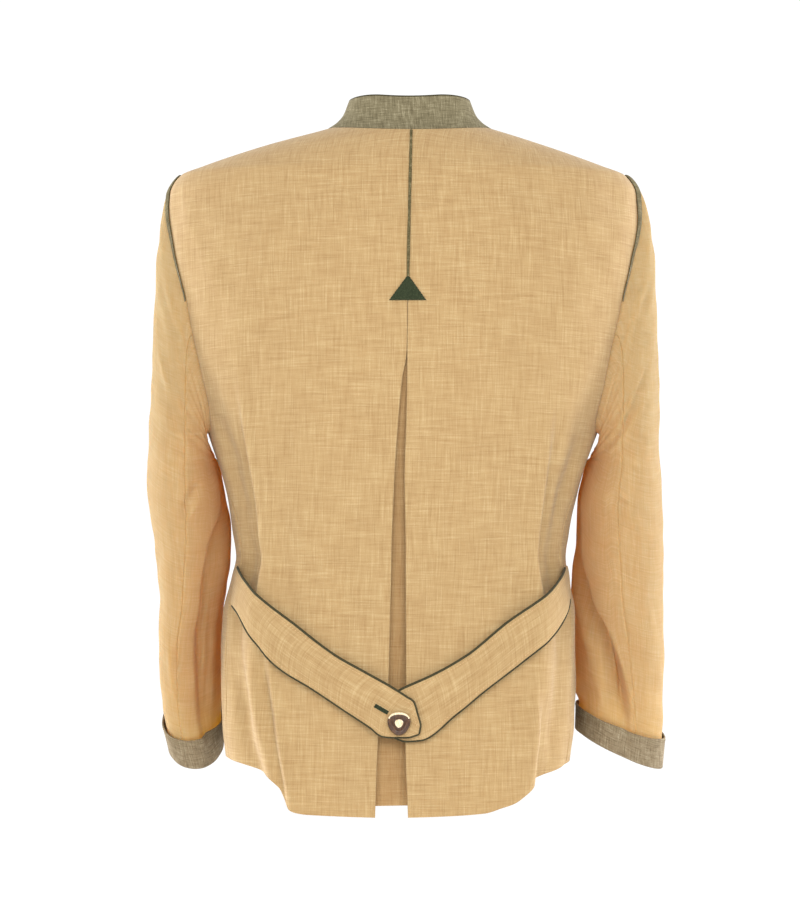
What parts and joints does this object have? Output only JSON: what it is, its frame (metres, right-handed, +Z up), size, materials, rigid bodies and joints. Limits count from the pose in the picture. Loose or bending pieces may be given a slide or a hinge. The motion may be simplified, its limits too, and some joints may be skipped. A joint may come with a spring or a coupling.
{
  "type": "trachten jacket",
  "caption": "Collared trachten jacket in heathered linen, worn form, with a pleated back, a pointed buttoned back belt, turned-back olive cuffs and green piping.",
  "frame": {"origin": "middle of the neck opening, level with the collar seam at the centre back, where the wearer's neck and shoulders carry the jacket", "axes": "+Z up along the body, +X to the wearer's right, +Y the way the wearer faces"},
  "size_m": [0.5464, 0.2897, 0.7369],
  "materials": {
    "linen_cloth": "heathered plain-weave linen, matt",
    "olive_cloth": "heathered olive cloth, matt",
    "green_felt": "dark green felt and piping, matt",
    "horn": "carved horn, polished"
  },
  "bodies": {
    "root": {"back_left": "linen_cloth", "back_right": "linen_cloth", "front_left": "linen_cloth", "front_right": "linen_cloth", "top_sleeve_left": "linen_cloth", "under_sleeve_left": "linen_cloth", "top_sleeve_right": "linen_cloth", "under_sleeve_right": "linen_cloth", "cuff_left": "olive_cloth", "cuff_right": "olive_cloth", "collar": "olive_cloth", "collar_piping": "green_felt", "pleat_insert": "linen_cloth", "centre_strip": "olive_cloth", "triangle": "green_felt", "sleeve_inset_left": "olive_cloth", "sleeve_inset_right": "olive_cloth", "belt_left": "linen_cloth", "belt_right": "linen_cloth", "belt_piping_left": "green_felt", "belt_piping_right": "green_felt", "belt_buttonhole": "green_felt", "belt_button": "horn", "front_button_1": "horn", "front_button_2": "horn", "front_button_3": "horn", "front_button_4": "horn", "front_button_5": "horn"}
  },
  "joints": []
}
